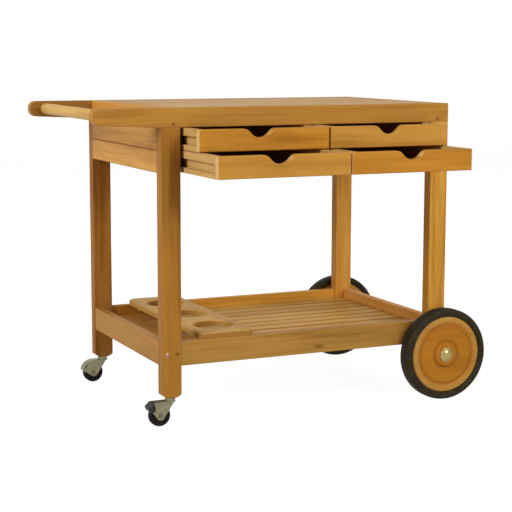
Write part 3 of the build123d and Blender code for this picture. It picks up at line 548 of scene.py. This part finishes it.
def fit(piece, material, body, name):
    """Puts a finer piece in the place of a node, with its finish and its body."""
    coat(piece, material)
    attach(piece, body)
    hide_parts(name)


def board_rows():
    """Nodes of several boards: the axis across them, the first one's start, pitch, dark joint and lift."""
    found = {}
    for name, count, gap, dark in (("top_planks", 8, 4 * MM, 5 * MM), ("shelf_slats", 10, 7 * MM, 9 * MM)):
        low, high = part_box(name)
        found[name] = (1, low.y - gap / 2, (high.y - low.y + gap) / count, dark, 0.0)
    for name in ("apron_left", "apron_right", "apron_back"):
        low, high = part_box(name)
        found[name] = (2, low.z, (high.z - low.z) / 2, 2.7 * MM, -0.12)
    return found


def knot_and_painted_shadows():
    """A knot and painted shadows on single boards: the middle, the stretch along each axis, the reach and the
    depth.
    """
    found = {}
    low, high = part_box("shelf_rail_front")
    knot = ((low.x + 0.435, low.y, low.z + 0.018), (0.4, 1, 1), 7 * MM, 0.7)
    # A painted shadow of the wheel darkens the rail's right end.
    wheel_shadow = ((high.x, low.y, low.z + 0.02), (0.6, 1, 0.5), 75 * MM, 0.6)
    found["shelf_rail_front"] = [knot, wheel_shadow]
    low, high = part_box("leg_front_left")
    # A painted shadow of the lower left drawer, on the leg's front below it.
    found["leg_front_left"] = [((high.x - 8 * MM, low.y, 0.655), (0.8, 0.4, 0.22), 26 * MM, 0.5)]
    low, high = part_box("leg_back_left")
    # Painted shade on the upper front of the back left leg, from the drawers and the near leg.
    found["leg_back_left"] = [((high.x, low.y, 0.62), (0.5, 0.3, 0.3), 45 * MM, 0.4)]
    low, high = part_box("shelf_rail_back")
    # Painted shadow on the back shelf rail's left end, beneath the rack.
    found["shelf_rail_back"] = [((low.x, low.y, high.z - 0.02), (0.5, 1, 0.5), 80 * MM, 0.9)]
    low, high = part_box("top_rail_back")
    # Painted shade on the inner face of the back top rail's left end.
    found["top_rail_back"] = [((low.x, low.y, high.z - 0.02), (0.3, 6, 0.3), 0.12, 0.35)]
    low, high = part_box("shelf_slats")
    # Painted shadow of the left shelf rail and the rack on the slats' left end.
    found["shelf_slats"] = [((low.x + 0.02, 0, high.z), (1, 0.1, 1), 0.17, 0.8)]
    return found


def sawn_ends():
    """Boards whose sawn end gets a colour of its own: the axis, the way that it faces along it and its tone.
    The drawer fronts' pale ends are painted highlight; the rack's near end is darker.
    """
    found = {"bottle_rack_board": (1, -1.0, (152, 106, 48))}
    for level in ("upper", "lower"):
        found[f"drawer_{level}_left_front"] = (0, -1.0, PAINTED_END_HIGHLIGHT)
        found[f"drawer_{level}_right_front"] = (0, 1.0, PAINTED_END_HIGHLIGHT)
    # The lower right drawer shows its other end, beside its neighbour, and its painted highlight is paler.
    found["drawer_lower_right_front"] = (0, -1.0, (232, 190, 120))
    return found


def grain_of(name):
    """The axis along which a board's grain runs."""
    if name.startswith("leg_"):
        return "Z"
    if name.startswith(CROSSWISE) or name.endswith("_sides"):
        return "Y"
    return "X"


def streaks_of(name):
    """How much streaks show in a board: little in the rack, much in the legs."""
    if "rack" in name:
        return 0.6
    if "leg_" in name:
        return 1.5
    return 1.0


def dress_fittings():
    """Metal and nylon on the small fittings. Gives the names of their nodes."""
    steel = metal("axle_steel", (150, 150, 146), (180, 180, 176), (0.25, 0.4), 300.0)
    bolt_steel = metal("bolt_steel", (150, 118, 92), (182, 150, 124), (0.3, 0.45), 300.0)
    zinc = metal("zinc_plate", (112, 107, 84), (152, 146, 117), (0.24, 0.5), 120.0)
    pin_zinc = metal("pin_zinc", (96, 91, 74), (122, 117, 98), (0.3, 0.5), 300.0)
    nylon = rubber("nylon_bush", (205, 199, 184), (226, 221, 208), 1500.0, 0.4)
    finishes = {"axle": steel, "axle_washers": steel, "frame_bolts": bolt_steel}
    for side in SIDES:
        finishes.update({f"caster_fork_{side}": zinc, f"caster_stem_{side}": zinc,
                         f"caster_pin_{side}": pin_zinc, f"wheel_bush_{side}": nylon})
    for name, material in finishes.items():
        coat(NODES[name], material)
    return set(finishes)


def dress_boards(fittings):
    """Teak on every wooden node, each with a cut of the tree of its own."""
    shared, knot_and_shadow_spots, sawn = board_rows(), knot_and_painted_shadows(), sawn_ends()
    wooden = [name for name in sorted(NODES) if name not in fittings and not name.startswith(REPLACED)]
    for n, name in enumerate(wooden):
        tone = next((tone for word, tone in TONES.items() if word in name), HONEY)
        coat(NODES[name], teak(f"teak_{name}", grain_of(name), tone, n * BOARD_SEED, row=shared.get(name),
                               spots=knot_and_shadow_spots.get(name, ()), streaky=streaks_of(name), sawn=sawn.get(name)))


def fit_round_pieces():
    """The wheels, tyres, casters, caps, brake lever and push bar, each in the place of its node."""
    tyre_black = rubber("tyre_rubber", (38, 32, 21), (60, 51, 36), 900.0, 0.09)
    caster_black = rubber("caster_rubber", (12, 11, 8), (26, 23, 18), 1200.0, 0.15)
    moulded = rubber("moulded_black", (22, 21, 18), (44, 42, 36), 2500.0, 0.4)
    brass = metal("polished_brass", (150, 129, 76), (186, 164, 110), (0.16, 0.3), 180.0)
    bar_teak = teak("teak_push_bar", "Y", STRAW, 5.9)
    for side, outward in SIDES.items():
        axle = round_place(f"wheel_disc_{side}", outward)[0]
        disc_teak = teak(f"teak_disc_{side}", "X", AMBER, 11.3 + outward, streaky=0.4, axle=axle)
        fit(wheel_disc(side, outward), disc_teak, f"wheel_{side}", f"wheel_disc_{side}")
        fit(tyre(side, outward), tyre_black, f"wheel_{side}", f"tyre_{side}")
        fit(caster_wheel(side), caster_black, f"caster_wheel_{side}", f"caster_wheel_{side}")
    fit(hub_cap_pair(), brass, "frame", "hub_caps")
    fit(foot_brake(), moulded, "brake_lever", "brake_lever")
    fit(push_bar(), bar_teak, "frame", "handle_bar")


# Stage

AMBIENT = 0.24
# Soft lights: place, target, width and power, and whether gloss shows them.
LIGHTS = {"light_left": ((-3.4, -1.0, 2.2), (0, 0, 0.5), 1.5, 96.0, True),
          "light_front": ((0.9, -2.8, 2.4), (0, 0, 0.5), 1.4, 50.0, True),
          "light_low": ((1.6, -3.6, 1.0), (0, 0, 0.4), 1.3, 38.0, False),
          "light_back": ((1.0, 3.8, 1.5), (0, 0, 0.5), 1.8, 48.0, False)}


def seen_ray(tree):
    """1 for a ray from the camera, by way of gloss and glass too, and 0 for a ray that carries light."""
    path = node(tree, "ShaderNodeLightPath")
    seen = sums(tree, "MAXIMUM", path.outputs["Is Camera Ray"], path.outputs["Is Glossy Ray"])
    return sums(tree, "MAXIMUM", seen, path.outputs["Is Transmission Ray"])


def white_ground():
    """A wide white floor that stays white to the camera and keeps the trolley's shadow."""
    reach = 9.0
    grey, shadow_grey, glow_strength, dull = 0.6, 0.16, 0.95, 0.9
    corners = [(-reach, -reach, 0), (reach, -reach, 0), (reach, reach, 0), (-reach, reach, 0)]
    mesh = bpy.data.meshes.new("studio_floor")
    mesh.from_pydata(corners, [], [(0, 1, 2, 3)])
    floor = bpy.data.objects.new("studio_floor", mesh)
    bpy.context.scene.collection.objects.link(floor)
    material, tree, shader = blank("floor_white")
    shader.inputs["Base Color"].default_value = (grey, grey, grey, 1)
    shader.inputs["Roughness"].default_value = dull
    glow = node(tree, "ShaderNodeEmission", {"Color": (1, 1, 1, 1), "Strength": glow_strength})
    shadow = node(tree, "ShaderNodeBsdfDiffuse", {"Color": (shadow_grey, shadow_grey, shadow_grey, 1)})
    white = node(tree, "ShaderNodeAddShader", {0: glow.outputs[0], 1: shadow.outputs[0]})
    mix = node(tree, "ShaderNodeMixShader", {0: seen_ray(tree), 1: shader.outputs[0], 2: white.outputs[0]})
    tree.links.new(mix.outputs[0], tree.nodes["Material Output"].inputs["Surface"])
    mesh.materials.append(material)


def daylight():
    """A white world to the camera and to gloss, and an even soft light from all round for the rest."""
    world = bpy.data.worlds.new("studio")
    world.use_nodes = True
    tree = world.node_tree
    back = tree.nodes["Background"]
    back.inputs["Color"].default_value = (1, 1, 1, 1)
    tree.links.new(remap(tree, seen_ray(tree), 0.0, 1.0, AMBIENT, 1.0), back.inputs["Strength"])
    bpy.context.scene.world = world


def softbox(name, place, target, size, power, gloss):
    """A square soft light that faces a point, with or without a reflection in gloss."""
    lamp = bpy.data.lights.new(name, "AREA")
    lamp.energy = power
    lamp.size = size
    holder = bpy.data.objects.new(name, lamp)
    holder.location = place
    holder.visible_glossy = gloss
    holder.rotation_euler = (Vector(target) - Vector(place)).to_track_quat("-Z", "Y").to_euler()
    bpy.context.scene.collection.objects.link(holder)


def photo_camera():
    """The camera that was fitted to the photograph: its place, its yaw, pitch and roll, and its lens.

    It looks along (sin yaw * cos pitch, cos yaw * cos pitch, -sin pitch), with its right and up axes turned
    by the roll. The lens is the focal length in pixels, as a share of the picture, times the sensor.
    """
    place = Vector((-1.7137, -3.69275, 1.0014))
    yaw, pitch, roll = 0.4282, 0.1443, 0.0018
    focal_pixels, picture_pixels, sensor = 1424.8, 512, 36.0
    ahead = Vector((math.sin(yaw) * math.cos(pitch), math.cos(yaw) * math.cos(pitch), -math.sin(pitch)))
    level = Vector((math.cos(yaw), -math.sin(yaw), 0))
    upright = level.cross(ahead)
    right = level * math.cos(roll) + upright * math.sin(roll)
    up = upright * math.cos(roll) - level * math.sin(roll)
    view = bpy.data.cameras.new("photo_camera")
    view.sensor_width = sensor
    view.lens = sensor * focal_pixels / picture_pixels
    view.clip_end = 50.0
    holder = bpy.data.objects.new("photo_camera", view)
    holder.matrix_world = Matrix.Translation(place) @ Matrix((right, up, -ahead)).transposed().to_4x4()
    bpy.context.scene.collection.objects.link(holder)
    bpy.context.scene.camera = holder


fittings = dress_fittings()
dress_boards(fittings)
fit_round_pieces()
white_ground()
daylight()
for light, settings in LIGHTS.items():
    softbox(light, *settings)
photo_camera()
bpy.context.scene.view_settings.view_transform = "Standard"
